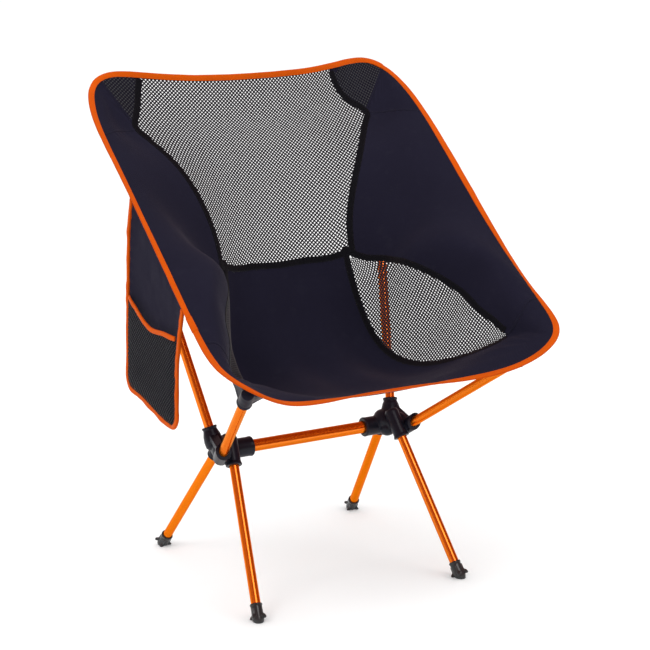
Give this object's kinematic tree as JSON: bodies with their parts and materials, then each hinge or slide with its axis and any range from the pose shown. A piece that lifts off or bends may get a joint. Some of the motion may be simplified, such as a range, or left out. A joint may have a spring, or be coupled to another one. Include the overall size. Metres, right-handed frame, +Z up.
{
  "type": "packable camp chair",
  "caption": "Ultralight packable camp chair: two moulded hubs on a crossbar, shock-corded orange poles and a dark cloth and mesh sling with orange edge binding and a hanging side pocket.",
  "frame": {"origin": "on the floor, under the centre of the overall bounding box", "axes": "+Z up; the sitter faces -Y; +X is the sitter's left"},
  "size_m": [0.4872, 0.4664, 0.6587],
  "materials": {
    "hub_plastic": "moulded charcoal-black nylon hub, satin, slightly worn at the socket mouths",
    "anodised_pole": "orange anodised aluminium pole, glossy with streaked highlights",
    "foot_cap": "dark grey moulded foot cap, slightly glossy",
    "tip_cap": "dark moulded cap inside the tip pocket",
    "ferrule": "bare drawn aluminium ferrule",
    "shock_cord": "braided elastic cord",
    "cloth": "near-black navy plain-weave nylon cloth, matt",
    "netting": "open knitted mesh, near-black",
    "webbing": "narrow woven seam tape, black, stitched on both edges",
    "edge_binding": "orange woven binding tape folded over the edge and stitched",
    "pocket_lining": "coated nylon, slightly glossy"
  },
  "bodies": {
    "hub_frame": {"hub_left": "hub_plastic", "hub_right": "hub_plastic", "crossbar": "anodised_pole", "front_leg_cord_left": "shock_cord", "front_leg_cord_right": "shock_cord", "rear_leg_cord_left": "shock_cord", "rear_leg_cord_right": "shock_cord", "arm_cord_left": "shock_cord", "arm_cord_right": "shock_cord", "post_cord_left": "shock_cord", "post_cord_right": "shock_cord"},
    "front_leg_left": {"front_leg_tube_left": "anodised_pole", "front_leg_foot_cap_left": "foot_cap"},
    "rear_leg_left": {"rear_leg_tube_left": "anodised_pole", "rear_leg_foot_cap_left": "foot_cap"},
    "arm_left": {"arm_tube_left": "anodised_pole", "arm_tip_cap_left": "tip_cap"},
    "post_lower_left": {"post_lower_tube_left": "anodised_pole", "post_ferrule_left": "ferrule"},
    "post_upper_left": {"post_upper_tube_left": "anodised_pole", "post_tip_cap_left": "tip_cap"},
    "front_leg_right": {"front_leg_tube_right": "anodised_pole", "front_leg_foot_cap_right": "foot_cap"},
    "rear_leg_right": {"rear_leg_tube_right": "anodised_pole", "rear_leg_foot_cap_right": "foot_cap"},
    "arm_right": {"arm_tube_right": "anodised_pole", "arm_tip_cap_right": "tip_cap"},
    "post_lower_right": {"post_lower_tube_right": "anodised_pole", "post_ferrule_right": "ferrule"},
    "post_upper_right": {"post_upper_tube_right": "anodised_pole", "post_tip_cap_right": "tip_cap"},
    "sling": {"seat_panel": "cloth", "back_mesh_panel": "netting", "edge_binding": "edge_binding", "lumbar_tape": "webbing", "wing_panel_left": "cloth", "wing_panel_right": "cloth", "corner_panel_left": "cloth", "corner_panel_right": "cloth", "side_mesh_panel_left": "netting", "side_mesh_panel_right": "netting", "corner_mesh_patch_left": "netting", "corner_mesh_patch_right": "netting", "mesh_side_tape_left": "webbing", "mesh_side_tape_right": "webbing", "seat_side_tape_left": "webbing", "seat_side_tape_right": "webbing", "wing_tape_left": "webbing", "wing_tape_right": "webbing", "rear_tip_pocket_left": "pocket_lining", "rear_tip_pocket_right": "pocket_lining", "front_tip_pocket_left": "pocket_lining", "front_tip_pocket_right": "pocket_lining"},
    "side_pocket": {"pocket_back_panel": "cloth", "pocket_mesh_front": "netting", "pocket_edge_binding": "edge_binding", "pocket_mouth_binding": "edge_binding"}
  },
  "joints": [
    {"name": "front_leg_pull_left", "type": "slide", "parent": "hub_frame", "child": "front_leg_left", "axis": [0.1176, -0.569, -0.8139], "range_m": [0, 0.06]},
    {"name": "rear_leg_pull_left", "type": "slide", "parent": "hub_frame", "child": "rear_leg_left", "axis": [0.1188, 0.6056, -0.7868], "range_m": [0, 0.06]},
    {"name": "arm_pull_left", "type": "slide", "parent": "hub_frame", "child": "arm_left", "axis": [0.2314, -0.7909, 0.5665], "range_m": [0, 0.03]},
    {"name": "post_pull_left", "type": "slide", "parent": "hub_frame", "child": "post_lower_left", "axis": [0.1471, 0.3823, 0.9122], "range_m": [0, 0.03]},
    {"name": "post_section_pull_left", "type": "slide", "parent": "post_lower_left", "child": "post_upper_left", "axis": [0.1471, 0.3823, 0.9122], "range_m": [0, 0.03]},
    {"name": "front_leg_pull_right", "type": "slide", "parent": "hub_frame", "child": "front_leg_right", "axis": [-0.1176, -0.569, -0.8139], "range_m": [0, 0.06]},
    {"name": "rear_leg_pull_right", "type": "slide", "parent": "hub_frame", "child": "rear_leg_right", "axis": [-0.1188, 0.6056, -0.7868], "range_m": [0, 0.06]},
    {"name": "arm_pull_right", "type": "slide", "parent": "hub_frame", "child": "arm_right", "axis": [-0.2314, -0.7909, 0.5665], "range_m": [0, 0.03]},
    {"name": "post_pull_right", "type": "slide", "parent": "hub_frame", "child": "post_lower_right", "axis": [-0.1471, 0.3823, 0.9122], "range_m": [0, 0.03]},
    {"name": "post_section_pull_right", "type": "slide", "parent": "post_lower_right", "child": "post_upper_right", "axis": [-0.1471, 0.3823, 0.9122], "range_m": [0, 0.03]},
    {"name": "sling_lift", "type": "slide", "parent": "hub_frame", "child": "sling", "axis": [0, 0.3862, 0.9224], "range_m": [0, 0.25], "deforming": ["rear_tip_pocket_left", "rear_tip_pocket_right", "front_tip_pocket_left", "front_tip_pocket_right"]},
    {"name": "side_pocket_swing", "type": "hinge", "parent": "sling", "child": "side_pocket", "pos_m": [-0.2386, 0.04533, 0.5204], "axis": [0, 0.8092, 0.5875], "range_deg": [0, 60]}
  ],
  "couplings": [
    {"joint": "arm_pull_left", "follows": "sling_lift", "ratio": 0.12},
    {"joint": "post_pull_left", "follows": "sling_lift", "ratio": 0.12},
    {"joint": "post_section_pull_left", "follows": "sling_lift", "ratio": 0.12},
    {"joint": "arm_pull_right", "follows": "sling_lift", "ratio": 0.12},
    {"joint": "post_pull_right", "follows": "sling_lift", "ratio": 0.12},
    {"joint": "post_section_pull_right", "follows": "sling_lift", "ratio": 0.12}
  ]
}
